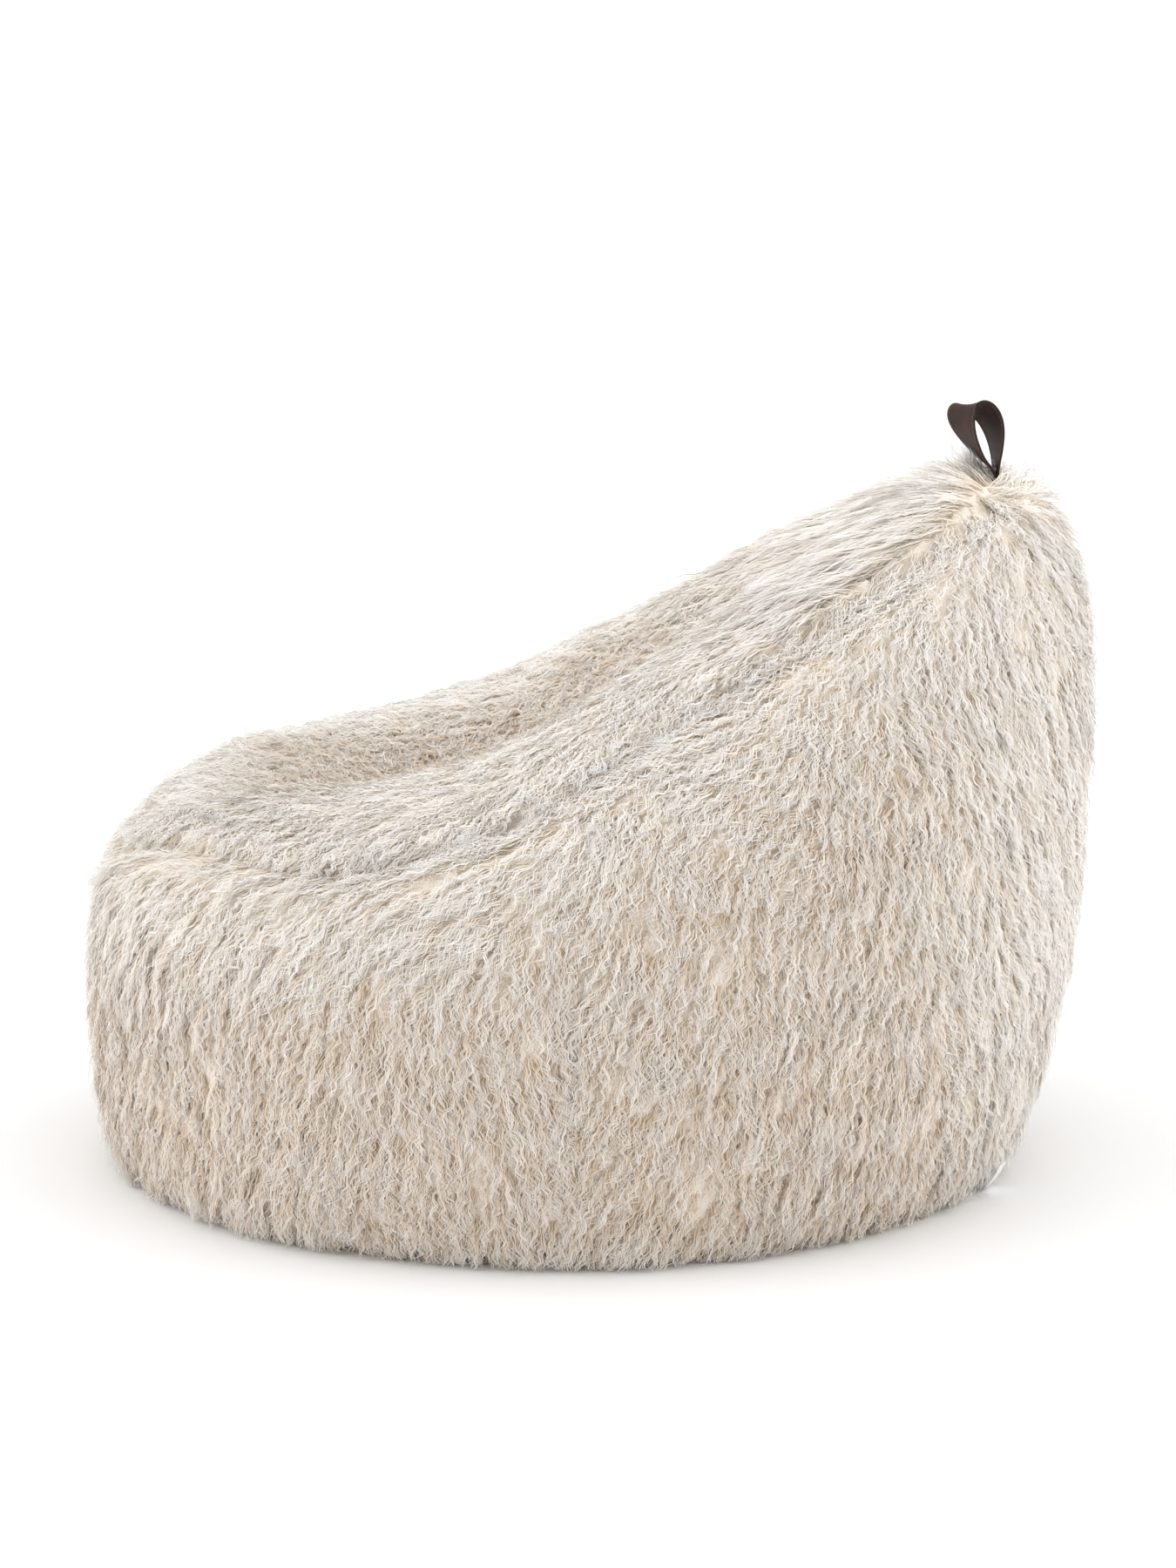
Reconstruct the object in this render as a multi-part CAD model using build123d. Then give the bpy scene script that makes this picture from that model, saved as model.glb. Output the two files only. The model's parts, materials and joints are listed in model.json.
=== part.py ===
"""Bean bag chair: a long-pile fur cover with a zipped base, an inner bag, bead fill and a strap handle.

Millimetres. The origin is the middle of the base on the floor, +Z is up and the seat faces -Y.
"""

import os
from math import cos, exp, pi, radians, sin, tan

from build123d import *

os.makedirs("parts", exist_ok=True)

# The wall over the fur: height, reach to the back, reach to the front, half width, middle of the ring
wall_rings = [
    (0, 427, 442, 412, 0),
    (70, 463, 462, 436, 0),
    (160, 486, 468, 445, 5),
    (260, 500, 462, 440, 15),
    (340, 506, 438, 418, 35),
    (410, 509, 392, 372, 75),
    (480, 508, 310, 310, 130),
    (550, 502, 170, 248, 205),
    (610, 485, 20, 196, 270),
    (660, 449, -100, 158, 320),
    (700, 398, -180, 120, 345),
]
# The seat over the fur, from front to back: place, middle height, crest rise, crest place, shoulder radius
seat_ribs = [
    (-560, 190, 2, 170, 600),
    (-440, 325, 3, 165, 560),
    (-380, 358, 5, 160, 540),
    (-310, 371, 9, 158, 540),
    (-230, 364, 27, 165, 600),
    (-140, 356, 54, 180, 680),
    (-50, 376, 66, 180, 600),
    (50, 434, 62, 164, 450),
    (150, 513, 42, 130, 330),
    (250, 592, 21, 100, 240),
    (340, 649, 9, 72, 190),
    (420, 684, 4, 57, 165),
    (560, 706, 2, 50, 160),
]
seat_edge = 520.0  # half width of the seat ribs, past the wall on both sides
ring_points = 16

# Cover
pile_depth = 22.0  # fur with its woven backing
seam_gap = 0.3
base_thickness = 2.0

# Zips
zip_length = 480.0
zip_height = 9.5  # middle of the base zip's teeth over the floor
zip_place = 150.0  # behind the middle of the base
tape_width = 15.0
tape_thickness = 0.8
row_gap = 1.6  # slot between the two rows, where the slider's post runs
tooth_pitch = 4.0
tooth_length = 1.6
tooth_depth = 2.6
tooth_height = 2.4
tooth_root = 1.2
slider_length = 13.0
slider_width = 10.0
slider_plate = 1.3
slider_clearance = 0.3
post_length = 3.0
post_width = 0.9
bail_length = 8.0
bail_width = 2.4
bail_opening = 1.9
bail_bar = 1.3
pull_length = 28.0
pull_width = 6.8
pull_thickness = 1.4
pull_arm = 1.3
pull_arm_length = 8.0
stop_length = 2.4
channel_margin = 6.0  # from the zip's middle to the base fabric
channel_flat = 20.0  # width of the raised strip that the tape is sewn to
channel_slope = 8.0
fabric_gap = 0.1

# Inner bag and fill
liner_gap = 5.0
liner_thickness = 2.5
liner_bottom = 12.8
liner_zip_place = -90.0
fill_gap = 4.0
fill_rest = 0.3  # over the inner bag's base
fill_groove_half = 38.0

# Handle
strap_width = 40.0
strap_thickness = 2.2
handle_place = 409.0  # where the strap is sewn into the seam, behind the middle of the base
handle_root = 664.0
loop_height = 68.0
loop_half_width = 14.0
loop_lean = 24.0  # to the front, at the top of the loop
loop_turn = 19.0  # direction of the loop's opening from +X, in degrees
loop_neck = 0.14  # share of the loop's height where the two ends still rise side by side
top_twist = 46.0  # of the strap's face at the top of the loop; its sewn ends have none
top_tilt = 10.5  # rise of the strap's +X edge at the top of the loop, in degrees
twist_growth = 1.3  # power by which the twist and the tilt grow with the height
root_half_gap = 1.4  # from the middle of the root to the middle of each strap end
strap_steps = 40
thread_radius = 0.45
thread_inset = 3.0
thread_gap = 0.3
pocket_height = 34.0
pocket_length = 58.0
pocket_front = 90.0
pocket_back = 18.0
pocket_floor_length = 46.0
pocket_floor_width = 9.0
patch_thickness = 1.5
patch_gap = 0.3
handle_gap = 0.95

# Care label
label_width = 24.0
label_height = 30.0
label_thickness = 0.8
label_turn = 69.0  # round the base ring from +X, in degrees
label_tilt = 33.5
label_gap = 2.0
label_lift = 1.5


def ring(height, back, front, half_width, middle, inset):
    """One level outline of the wall, drawn in by an inset."""
    points = []
    for i in range(ring_points):
        turn = 2 * pi * i / ring_points
        reach = back - middle if sin(turn) > 0 else front + middle
        x = (half_width - inset) * cos(turn)
        y = middle + (reach - inset) * sin(turn)
        points.append((x, y, height))
    return Wire([Spline(*points, periodic=True)])


def wall_form(inset):
    """The whole space inside the wall, up past the seat."""
    return Solid.make_loft([ring(*row, inset) for row in wall_rings])


def rib(place, middle, rise, crest, radius, drop):
    """One cross-section of the seat: a hollow, two crests and two falling shoulders."""
    points = []
    reaches = [crest * share for share in (0, 0.3, 0.6, 0.85, 1.0)]
    reaches += [crest + (seat_edge - crest) * share for share in (0.15, 0.35, 0.6, 1.0)]
    for x in reaches:
        if x <= crest:
            z = middle + rise * (1 - cos(pi * x / crest)) / 2
        else:
            z = middle + rise - (x - crest) ** 2 / (2 * radius)
        points.append((x, z - drop))
    left = [(-x, place, z) for x, z in reversed(points[1:])]
    right = [(x, place, z) for x, z in points]
    top = Spline(*left, *right)
    floor = -1200.0
    low_right = (seat_edge, place, floor)
    low_left = (-seat_edge, place, floor)
    return Wire([top, Line(right[-1], low_right), Line(low_right, low_left), Line(low_left, left[0])])


def seat_form(drop):
    """Everything below the seat's surface, lowered by a drop."""
    return Solid.make_loft([rib(*row, drop) for row in seat_ribs])


def above(shape, height):
    """The part of a shape over a level."""
    return shape & Pos(0, 0, height) * Box(1400, 1400, 1400, align=(Align.CENTER, Align.CENTER, Align.MIN))


def half(shape, side):
    """The front (-1) or back (+1) half of a shape, clear of the side seams."""
    align = (Align.CENTER, Align.MIN if side > 0 else Align.MAX, Align.CENTER)
    return shape & Pos(0, side * seam_gap / 2, 0) * Box(1400, 1400, 2800, align=align)


def save(name, shape):
    """Write one piece to its own file."""
    if isinstance(shape, list):
        shape = Compound(shape)
    export_step(shape, f"parts/{name}.step")
    print(name, round(shape.volume / 1000, 2), "cm3", len(shape.solids()), "solid(s)", shape.is_valid)


# Nested forms of the cover, the inner bag and the fill
liner_inset = pile_depth + liner_gap
fill_inset = liner_inset + liner_thickness + fill_gap
wall_outer = wall_form(0)
wall_inner = wall_form(pile_depth)
seat_outer = seat_form(0)
seat_inner = seat_form(pile_depth)
liner_wall_outer = wall_form(liner_inset)
liner_wall_inner = wall_form(liner_inset + liner_thickness)
liner_seat_outer = seat_form(liner_inset)
liner_seat_inner = seat_form(liner_inset + liner_thickness)


def handle_pocket():
    """The parting in the pile round the strap, wider to the front, with its floor on the seam."""
    floor = Pos(0, handle_place, handle_root) * Rectangle(pocket_floor_length, pocket_floor_width)
    mouth_place = handle_place + (pocket_back - pocket_front) / 2
    mouth = Rectangle(pocket_length, pocket_front + pocket_back)
    mouth = Pos(0, mouth_place, handle_root + pocket_height) * mouth
    recess_depth = patch_thickness + patch_gap
    recess = Pos(0, handle_place, handle_root - recess_depth / 2) * Box(
        pocket_floor_length, pocket_floor_width, recess_depth
    )
    return loft([floor.face(), mouth.face()]) + recess


def cover_panels():
    """Seat, front wall and back wall of the fur cover."""
    seat = (wall_outer & seat_outer) - seat_inner
    shell = (wall_outer - wall_inner) & seat_form(pile_depth + seam_gap)
    pocket = handle_pocket()
    save("seat_panel", seat - pocket)
    save("front_wall_panel", half(shell, -1))
    save("back_wall_panel", half(shell, 1) - pocket)


def base_half(side, place, level, thickness, form):
    """Half of a flat base with its margin drawn up to the zip."""
    raised = level + zip_height - tape_thickness / 2 - fabric_gap
    inner = channel_margin
    fold = inner + channel_flat
    foot = fold + channel_slope
    far = 1000.0
    profile = [
        (inner, raised - thickness),
        (inner, raised),
        (fold + thickness / 2, raised),
        (foot + thickness / 2, level + thickness),
        (far, level + thickness),
        (far, level),
        (foot - thickness / 2, level),
        (fold - thickness / 2, raised - thickness),
    ]
    points = [(0, place + side * y, z) for y, z in profile]
    sheet = extrude(Face(Wire.make_polygon(points, close=True)), 700, dir=(1, 0, 0), both=True)
    return sheet & form


def teeth_row(side, place, level):
    """One row of teeth on its root cord."""
    inner = row_gap / 2
    root_middle = place + side * (inner + tooth_depth - tooth_root / 2)
    row = Pos(0, root_middle, level) * Box(zip_length, tooth_root, tooth_height)
    reach = tooth_depth - tooth_root / 2
    count = int(zip_length / tooth_pitch)
    first = -zip_length / 2 + tooth_pitch / 2 + side * tooth_pitch / 4
    teeth = [
        Pos(first + i * tooth_pitch, place + side * (inner + reach / 2), level)
        * Box(tooth_length, reach, tooth_height)
        for i in range(count)
    ]
    return row.fuse(*teeth)


def zip_tape(side, place, level):
    """One woven tape along the zip."""
    inner = row_gap / 2 + tooth_depth + fabric_gap
    return Pos(0, place + side * (inner + tape_width / 2), level) * Box(
        zip_length + 30, tape_width, tape_thickness
    )


def zip_slider(place, level, with_bail):
    """Two plates on a post that runs between the rows, at the closed end."""
    start = -zip_length / 2 + slider_length
    gap = tooth_height / 2 + slider_clearance
    plate_level = gap + slider_plate / 2
    slider = Pos(start, place, level) * Box(post_length, post_width, 2 * gap + slider_plate)
    for side in (-1, 1):
        plate = Box(slider_length, slider_width, slider_plate)
        slider += Pos(start, place, level + side * plate_level) * fillet(plate.edges().filter_by(Axis.Z), 2.5)
    if with_bail:
        under = level - gap - slider_plate
        for side in (-1, 1):
            x = start + side * (bail_length - bail_bar) / 2
            slider += Pos(x, place, under - bail_opening / 2) * Box(bail_bar, bail_width, bail_opening)
        slider += Pos(start, place, under - bail_opening - bail_bar / 2) * Box(bail_length, bail_width, bail_bar)
    return slider


def zip_pull(place, level):
    """A flat tab on an eye bar through the slider's bail."""
    start = -zip_length / 2 + slider_length
    eye = level - tooth_height / 2 - slider_clearance - slider_plate - bail_opening / 2
    pull = Pos(start, place, eye) * Rot(90, 0, 0) * Cylinder(pull_thickness / 2, pull_width)
    for side in (-1, 1):
        y = place + side * (pull_width - pull_arm) / 2
        pull += Pos(start - pull_arm_length / 2, y, eye) * Box(pull_arm_length, pull_arm, pull_thickness)
    tab_length = pull_length - pull_arm_length + pull_arm
    tab = Box(tab_length, pull_width, pull_thickness)
    tab = fillet(tab.edges().filter_by(Axis.Z).group_by(Axis.X)[0], 2.5)
    return pull + Pos(start - pull_arm_length + pull_arm - tab_length / 2, place, eye) * tab


def zip_stops(place, level):
    """Clips across both rows at the two ends of the zip."""
    width = row_gap + 2 * tooth_depth
    x = (zip_length + stop_length) / 2 + fabric_gap
    return [Pos(side * x, place, level) * Box(stop_length, width, tooth_height) for side in (-1, 1)]


def zip_pieces(name, place, level):
    """Tapes, teeth and stops that a cover's base and an inner bag's base share."""
    for word, side in (("front", -1), ("back", 1)):
        save(f"{name}_zip_tape_{word}", zip_tape(side, place, level))
        save(f"{name}_zip_teeth_{word}", teeth_row(side, place, level))
    save(f"{name}_zip_stops", zip_stops(place, level))


def base():
    """The woven base in two halves, and the zip between them."""
    form = wall_form(pile_depth + fabric_gap)
    for word, side in (("front", -1), ("back", 1)):
        save(f"base_panel_{word}", base_half(side, zip_place, 0, base_thickness, form))
    zip_pieces("base", zip_place, zip_height)
    save("base_zip_slider", zip_slider(zip_place, zip_height, True))
    save("base_zip_pull", zip_pull(zip_place, zip_height))


def inner_bag():
    """The thin bag inside the cover, with its own zip, and the fill inside it."""
    top = above((liner_wall_outer & liner_seat_outer) - liner_seat_inner, liner_bottom)
    shell = (liner_wall_outer - liner_wall_inner) & seat_form(liner_inset + liner_thickness + seam_gap)
    shell = above(shell, liner_bottom)
    save("liner_top", top)
    form = wall_form(liner_inset + liner_thickness + fabric_gap)
    for word, side in (("front", -1), ("back", 1)):
        save(f"liner_{word}_wall", half(shell, side))
        save(f"liner_base_{word}", base_half(side, liner_zip_place, liner_bottom, liner_thickness, form))
    level = liner_bottom + zip_height
    zip_pieces("liner", liner_zip_place, level)
    save("liner_zip_slider", zip_slider(liner_zip_place, level, False))
    fill = above(wall_form(fill_inset) & seat_form(fill_inset), liner_bottom + liner_thickness + fill_rest)
    groove_top = level + tooth_height / 2 + slider_clearance + slider_plate + fill_rest
    groove = Pos(0, liner_zip_place, 0) * Box(1400, 2 * fill_groove_half, 2 * groove_top)
    save("bead_fill", fill - groove)


def strap_point(share):
    """The strap's middle line, a drop-shaped loop from one sewn end round to the other."""
    turn = pi * share
    rise = sin(turn)
    spread = 1 - exp(-((rise / loop_neck) ** 2))
    across = -loop_half_width * sin(2 * turn) * spread - root_half_gap * cos(turn)
    opening = radians(loop_turn)
    x = -across * sin(opening)
    y = handle_place + across * cos(opening) - loop_lean * rise * spread
    return Vector(x, y, handle_root + handle_gap + loop_height * rise)


def strap_planes():
    """Planes square to the strap's line, with X across the strap and Y to the inside of the loop."""
    planes = []
    step = 0.0001
    for i in range(strap_steps + 1):
        share = i / strap_steps
        tangent = (strap_point(share + step) - strap_point(share - step)).normalized()
        growth = abs(sin(pi * share)) ** twist_growth
        turn = radians(top_twist) * growth
        across = (cos(turn), sin(turn), tan(radians(top_tilt)) * growth)
        planes.append(Plane(strap_point(share), x_dir=across, z_dir=tangent))
    return planes


def thread_row(across):
    """One line of stitching that lies on the strap's outer face, clear of the sewn ends."""
    outward = strap_thickness / 2 + thread_radius + thread_gap
    planes = strap_planes()[1:-1:2]
    line = Spline(*[plane.from_local_coords((across, -outward, 0)) for plane in planes])
    return sweep(Plane(line @ 0, z_dir=line % 0) * Circle(thread_radius), line)


def handle():
    """The strap's loop, its two rows of stitching and the patch under it."""
    strap = loft([(plane * Rectangle(strap_width, strap_thickness)).face() for plane in strap_planes()])
    save("handle_strap", strap)
    place = strap_width / 2 - thread_inset
    save("handle_stitching", [thread_row(side * place) for side in (-1, 1)])
    patch = Box(
        pocket_floor_length - 2 * patch_gap,
        pocket_floor_width - 2 * patch_gap,
        patch_thickness,
        align=(Align.CENTER, Align.CENTER, Align.MAX),
    )
    save("handle_anchor_patch", Pos(0, handle_place, handle_root) * patch)


def label():
    """The bare label that stands out of the base seam, close to the wall."""
    _, back, _, half_width, _ = wall_rings[0]
    turn = radians(label_turn)
    outward = Vector(cos(turn) / half_width, sin(turn) / back, 0).normalized()
    foot = Vector(half_width * cos(turn), back * sin(turn), label_lift) + outward * label_gap
    along = Vector(0, 0, 1).cross(outward)
    plane = Plane(foot, x_dir=along, z_dir=outward)
    tag = Box(label_width, label_height, label_thickness, align=(Align.CENTER, Align.MIN, Align.CENTER))
    tag = fillet(tag.edges().filter_by(Axis.Z).group_by(Axis.Y)[-1], 2)
    save("care_label", plane * Rot(label_tilt, 0, 0) * tag)
    print("label foot", foot, "hinge axis", along)


cover_panels()
base()
inner_bag()
handle()
label()
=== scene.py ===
# %% [markdown]
# # A long-pile bean bag chair
#
# The chair is a big soft bag of foam beads in a fur cover, with a leather strap to carry it by. The packed
# solids are the frame of this scene: they give every place and size. The script dresses them with a cloth
# skin, tens of thousands of wavy locks, a stitched strap, a bare label and a woven base with its zip.

# %% Load the frame
import json
import math

import bmesh
import bpy
import numpy as np
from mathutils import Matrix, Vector
from mathutils.bvhtree import BVHTree


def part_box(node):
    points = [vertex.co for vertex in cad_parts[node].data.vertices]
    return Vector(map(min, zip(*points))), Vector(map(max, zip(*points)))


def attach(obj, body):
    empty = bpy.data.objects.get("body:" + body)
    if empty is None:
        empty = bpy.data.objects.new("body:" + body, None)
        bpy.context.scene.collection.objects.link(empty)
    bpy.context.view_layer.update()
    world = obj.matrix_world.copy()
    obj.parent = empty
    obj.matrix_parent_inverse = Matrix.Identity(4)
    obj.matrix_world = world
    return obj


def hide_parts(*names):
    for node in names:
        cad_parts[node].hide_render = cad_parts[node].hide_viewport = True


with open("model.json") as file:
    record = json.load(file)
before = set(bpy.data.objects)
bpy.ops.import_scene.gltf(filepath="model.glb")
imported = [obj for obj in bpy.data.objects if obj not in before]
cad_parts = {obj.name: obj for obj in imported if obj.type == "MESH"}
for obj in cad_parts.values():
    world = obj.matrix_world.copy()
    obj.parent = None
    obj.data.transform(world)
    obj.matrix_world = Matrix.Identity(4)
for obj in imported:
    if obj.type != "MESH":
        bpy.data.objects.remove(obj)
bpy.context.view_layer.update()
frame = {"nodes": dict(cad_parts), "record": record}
nodes = frame["nodes"]
scene = bpy.context.scene
rng = np.random.default_rng(7)

# %% [markdown]
# ## Camera
#
# The photograph was taken from the sitter's left with a long lens, a little above the seat. A camera that
# stands far off with the same small angle of view keeps the near and far rims at their true sizes. The
# shift moves the picture's frame without tilting the camera.

# %% Camera
photo_width = 1350
photo_height = 1800
focal_pixels = 5310.0
aim = Vector((0, 0, 0.3))
aim_pixel = (650.4, 974.2)
camera_elevation = math.radians(12.49)
camera_distance = 4.5

lens = bpy.data.cameras.new("camera")
lens.lens = lens.sensor_width * focal_pixels / photo_height
lens.shift_x = (photo_width / 2 - aim_pixel[0]) / photo_height
lens.shift_y = (aim_pixel[1] - photo_height / 2) / photo_height
camera = bpy.data.objects.new("camera", lens)
to_camera = Vector((math.cos(camera_elevation), 0, math.sin(camera_elevation)))
camera.location = aim + to_camera * camera_distance
camera.rotation_euler = to_camera.to_track_quat("Z", "Y").to_euler()
scene.collection.objects.link(camera)
scene.camera = camera
scene.view_settings.view_transform = "Standard"
print("camera at", [round(v, 3) for v in camera.location], "lens", round(lens.lens, 1), "mm")

# %% [markdown]
# ## Studio
#
# A white room lights pale fur best: light comes from everywhere, but more from above and from both ends of
# the seat than from the camera's side, so that the form stays readable. Many lamps could do it, but the
# world shader can work it out from the direction of each ray, without hard shadows. The floor is a pale
# sheet that keeps a soft shadow under the bag.


# %% Node helpers
def new_material(name, **sockets):
    """A Principled material with plain socket values, and its node tree."""
    material = bpy.data.materials.new(name)
    material.use_nodes = True
    bsdf = material.node_tree.nodes["Principled BSDF"]
    for socket, value in sockets.items():
        bsdf.inputs[socket.replace("_", " ")].default_value = value
    return material, material.node_tree, bsdf


def add_node(tree, kind, **values):
    """A shader node with its properties and input values set."""
    node = tree.nodes.new("ShaderNode" + kind)
    for key, value in values.items():
        if hasattr(node, key):
            setattr(node, key, value)
        else:
            node.inputs[key.replace("_", " ")].default_value = value
    return node


def ramp(tree, factor, stops):
    """A colour ramp on a factor, from (place, colour) stops."""
    node = add_node(tree, "ValToRGB")
    elements = node.color_ramp.elements
    while len(elements) < len(stops):
        elements.new(0.5)
    for element, (place, colour) in zip(elements, stops):
        element.position = place
        element.color = (*colour, 1)
    tree.links.new(factor, node.inputs["Fac"])
    return node.outputs["Color"]


def bump(tree, bsdf, height, distance, strength=1.0):
    """Relief on a shader from a height."""
    node = add_node(tree, "Bump", Strength=strength, Distance=distance)
    tree.links.new(height, node.inputs["Height"])
    tree.links.new(node.outputs["Normal"], bsdf.inputs["Normal"])


# %% Floor
floor_size = 120.0
floor_drop = 0.0005

floor_mesh = bpy.data.meshes.new("studio_floor")
half_floor = floor_size / 2
corners = [(-half_floor, -half_floor, 0), (half_floor, -half_floor, 0), (half_floor, half_floor, 0)]
floor_mesh.from_pydata(corners + [(-half_floor, half_floor, 0)], [], [(0, 1, 2, 3)])
floor = bpy.data.objects.new("studio_floor", floor_mesh)
floor.location.z = -floor_drop
scene.collection.objects.link(floor)
floor_paint, _, _ = new_material("studio_paint", Base_Color=(0.95, 0.95, 0.95, 1), Roughness=0.9)
floor_mesh.materials.append(floor_paint)
print("floor:", floor_size, "m square")


# %% World light
room_light = 0.33  # from every side
end_light = 2.4  # added straight in front of and behind the seat
end_focus = 4  # how closely the end light keeps to those directions
top_light = 0.93  # added overhead


def maths(tree, operation, *terms):
    """The result of a maths node on sockets and plain numbers."""
    node = add_node(tree, "Math", operation=operation)
    for socket, term in zip(node.inputs, terms):
        if isinstance(term, (int, float)):
            socket.default_value = term
        else:
            tree.links.new(term, socket)
    return node.outputs[0]


world = bpy.data.worlds.new("studio")
world.use_nodes = True
scene.world = world
sky = world.node_tree
room = sky.nodes["Background"]
room.inputs["Color"].default_value = (1, 1, 1, 1)
ray = add_node(sky, "TexCoord")
parts = add_node(sky, "SeparateXYZ")
sky.links.new(ray.outputs["Generated"], parts.inputs["Vector"])
ends = maths(sky, "POWER", maths(sky, "ABSOLUTE", parts.outputs["Y"]), end_focus)
sides = maths(sky, "MULTIPLY_ADD", ends, end_light, room_light)
above = maths(sky, "MAXIMUM", parts.outputs["Z"], 0)
sky.links.new(maths(sky, "MULTIPLY_ADD", above, top_light, sides), room.inputs["Strength"])
print("world light: from", room_light, "at the sides to", round(room_light + top_light, 2), "overhead")

# %% White background and lamp
lamp_power = 6
lamp_size = 2.6
lamp_place = (0.5, -0.1, 2.7)
lamp_aim = Vector((0, 0, 0.4))

white = add_node(sky, "Background", Strength=1.0)
white.inputs["Color"].default_value = (1, 1, 1, 1)
path = add_node(sky, "LightPath")
seen = maths(sky, "MAXIMUM", path.outputs["Is Camera Ray"], path.outputs["Is Glossy Ray"])
seen_through = maths(sky, "MAXIMUM", seen, path.outputs["Is Transmission Ray"])
choose = add_node(sky, "MixShader")
sky.links.new(seen_through, choose.inputs[0])
sky.links.new(room.outputs[0], choose.inputs[1])
sky.links.new(white.outputs[0], choose.inputs[2])
sky.links.new(choose.outputs[0], sky.nodes["World Output"].inputs["Surface"])

lamp = bpy.data.lights.new("overhead", "AREA")
lamp.size = lamp_size
lamp.energy = lamp_power
overhead = bpy.data.objects.new("overhead", lamp)
overhead.location = lamp_place
overhead.rotation_euler = (overhead.location - lamp_aim).to_track_quat("Z", "Y").to_euler()
scene.collection.objects.link(overhead)
print("overhead lamp:", lamp_power, "W,", lamp_size, "m wide")

# %% [markdown]
# ## The cloth skin
#
# Under the fur is a knitted backing, sewn from a seat panel and two wall panels and pushed out by the beads.
# It could be drawn by hand, but a cloth simulation gives the swell between seams for nothing. The skin
# starts from the bead fill's solid: a voxel remesh makes even cells, every point moves out to just under
# the fur, the seams are drawn in and pinned, and pressure does the rest.


# %% Read the solids
def mesh_arrays(mesh):
    """Points and triangles of a mesh as arrays."""
    points = np.empty(len(mesh.vertices) * 3)
    mesh.vertices.foreach_get("co", points)
    mesh.calc_loop_triangles()
    triangles = np.empty(len(mesh.loop_triangles) * 3, dtype=np.int32)
    mesh.loop_triangles.foreach_get("vertices", triangles)
    return points.reshape(-1, 3), triangles.reshape(-1, 3)


def tree_of(points, triangles):
    """A search tree on triangles."""
    return BVHTree.FromPolygons(points.tolist(), triangles.tolist())


def outer_faces(node, core):
    """The triangles of a fur panel that face away from the fill."""
    points, triangles = mesh_arrays(node.data)
    a, b, c = points[triangles[:, 0]], points[triangles[:, 1]], points[triangles[:, 2]]
    normals = np.cross(b - a, c - a)
    normals /= np.linalg.norm(normals, axis=1, keepdims=True) + 1e-12
    middles = (a + b + c) / 3
    inside = np.array([core.find_nearest(m)[0] for m in middles])
    away = middles - inside
    away /= np.linalg.norm(away, axis=1, keepdims=True) + 1e-12
    return points, triangles[(normals * away).sum(axis=1) > 0.55]


panel_names = ["seat_panel", "front_wall_panel", "back_wall_panel"]
core = tree_of(*mesh_arrays(nodes["bead_fill"].data))
panels = {name: tree_of(*outer_faces(nodes[name], core)) for name in panel_names}
print("outer faces read from", ", ".join(panel_names))

# %% Start the skin under the fur
voxel = 0.010
root_depth = 0.012  # from the fur's outside down to its roots
skin_bottom = 0.004
under_height = 0.032  # faces below this that look down belong to the bag's bottom
grow_rounds = 3


def evaluated_mesh(piece):
    """A new mesh with a piece's modifiers applied."""
    graph = bpy.context.evaluated_depsgraph_get()
    return bpy.data.meshes.new_from_object(piece.evaluated_get(graph))


def remeshed(node, name, size):
    """A closed, evenly gridded copy of a solid."""
    piece = bpy.data.objects.new(name, node.data.copy())
    scene.collection.objects.link(piece)
    grid = piece.modifiers.new("grid", "REMESH")
    grid.mode = "VOXEL"
    grid.voxel_size = size
    relax = piece.modifiers.new("relax", "SMOOTH")
    relax.factor = 0.5
    relax.iterations = 2
    mesh = evaluated_mesh(piece)
    piece.modifiers.clear()
    piece.data = mesh
    return piece


def vertex_normals(mesh):
    """Vertex normals as an array."""
    normals = np.empty(len(mesh.vertices) * 3)
    mesh.vertex_normals.foreach_get("vector", normals)
    return normals.reshape(-1, 3)


def panel_distances(points):
    """Distance from each point to the outside of each panel."""
    return np.array([[panels[name].find_nearest(p)[3] for name in panel_names] for p in points])


skin = remeshed(nodes["bead_fill"], "skin", voxel)
points, _ = mesh_arrays(skin.data)
under = (points[:, 2] < under_height) & (vertex_normals(skin.data)[:, 2] < -0.5)
for _ in range(grow_rounds):
    grow = np.where(under, 0, panel_distances(points).min(axis=1) - root_depth)
    points = points + vertex_normals(skin.data) * grow[:, None]
    points[under, 2] = skin_bottom
    points[:, 2] = np.maximum(points[:, 2], skin_bottom)
    skin.data.vertices.foreach_set("co", points.ravel())
    skin.data.update()
print("skin:", len(points), "points, last moved by up to", round(np.abs(grow).max() * 1000, 1), "mm")

# %% Draw in the seams
seam_pull = 0.0025
seam_reach = 0.022
dent_middle = np.array([0.43, 0.012, 0.19])
dent_size = np.array([0.06, 0.028, 0.075])
dent_depth = 0.009

distances = panel_distances(points)
seat_to_wall = np.abs(distances[:, 0] - distances[:, 1:].min(axis=1))
side_seam = np.where(distances[:, 0] > 0.03, np.abs(points[:, 1]), 1.0)
seam = np.minimum(np.minimum(seat_to_wall, side_seam), np.maximum(points[:, 2] - skin_bottom, 0))
# The seat's seam shows only beside the backrest.
behind = np.clip((points[:, 1] - 0.05) / 0.2, 0, 1)
pull = seam_pull * np.exp(-((seam / seam_reach) ** 2)) * np.where(seat_to_wall < 0.05, behind, 1)
dent = dent_depth * np.exp(-(((points - dent_middle) / dent_size) ** 2).sum(axis=1))
normals = vertex_normals(skin.data)
normals[:, 2] = np.where(points[:, 2] < 0.03, 0, normals[:, 2])
points = points - normals * (pull + dent)[:, None]
skin.data.vertices.foreach_set("co", points.ravel())
skin.data.update()
print("seams drawn in by", seam_pull * 1000, "mm, dent", dent_depth * 1000, "mm deep")

# %% Blow up the skin with cloth pressure
cloth_frames = 20
cloth_cap = 0.004


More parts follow.
